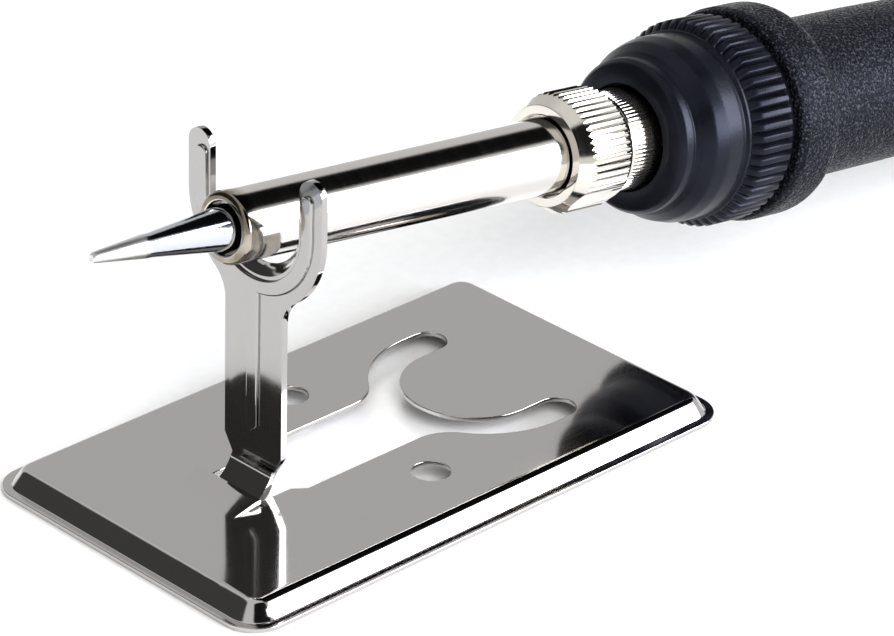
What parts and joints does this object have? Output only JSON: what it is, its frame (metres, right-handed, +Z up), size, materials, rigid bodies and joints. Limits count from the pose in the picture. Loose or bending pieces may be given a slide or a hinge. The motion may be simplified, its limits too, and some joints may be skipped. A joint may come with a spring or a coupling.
{
  "type": "soldering iron station",
  "caption": "Corded soldering iron with a conical tip, ring nut and black handle, laid in the fork of a pressed steel bench stand.",
  "frame": {"origin": "on the bench, under the middle of the assembly", "axes": "+X from the tip towards the handle end, +Z up"},
  "size_m": [0.2445, 0.0536, 0.0518],
  "materials": {
    "polished_steel": "pressed sheet steel, bright polished and plated",
    "fork_steel": "pressed sheet steel, bright plated",
    "tip_plate": "iron and chrome plated copper, tinned end",
    "sleeve_nickel": "bright nickel plate, heat tinted at the mouth",
    "nut_nickel": "bright nickel plate on knurled brass",
    "ferrule_nickel": "bright nickel plate",
    "ceramic": "fired alumina",
    "collar_steel": "plain turned steel",
    "spring_steel": "drawn spring wire",
    "fibre": "vulcanised fibre",
    "screw_steel": "zinc plated screws",
    "cap_black": "satin moulded black thermoset",
    "handle_black": "spark-textured moulded black nylon",
    "board": "phenolic board",
    "tab_brass": "tinned brass",
    "lead_red": "silicone insulated lead",
    "lead_white": "glass-sleeved lead",
    "lead_green": "silicone insulated earth lead",
    "rubber_black": "moulded black rubber"
  },
  "bodies": {
    "stand": {"base_plate": "polished_steel", "fork_arm": "fork_steel"},
    "iron": {"threaded_ferrule": "ferrule_nickel", "heater_element": "ceramic", "heater_collar": "collar_steel", "grounding_spring": "spring_steel", "insulator_washer": "fibre", "ferrule_screws": "screw_steel", "front_cap": "cap_black", "handle_shell": "handle_black", "terminal_board": "board", "terminal_tabs": "tab_brass", "board_screws": "screw_steel", "heater_leads": "lead_red", "sensor_leads": "lead_white", "earth_lead": "lead_green", "rear_cap": "handle_black", "cap_screw": "screw_steel", "gland_bush": "rubber_black"},
    "barrel": {"barrel_tube": "sleeve_nickel", "soldering_tip": "tip_plate"},
    "nut": {"retaining_nut": "nut_nickel"}
  },
  "joints": [
    {"name": "iron_lift", "type": "slide", "parent": "stand", "child": "iron", "axis": [0, 0, 1], "range_m": [0, 0.06]},
    {"name": "barrel_draw", "type": "slide", "parent": "iron", "child": "barrel", "axis": [-0.9899, 0, 0.1421], "range_m": [0, 0.005]},
    {"name": "nut_turn", "type": "hinge", "parent": "barrel", "child": "nut", "pos_m": [-0.03509, 0, 0.03369], "axis": [-0.9899, 0, 0.1421], "range_deg": [0, 1800]}
  ],
  "couplings": [
    {"joint": "nut_turn", "follows": "barrel_draw", "rad_per_m": 6283.2}
  ]
}
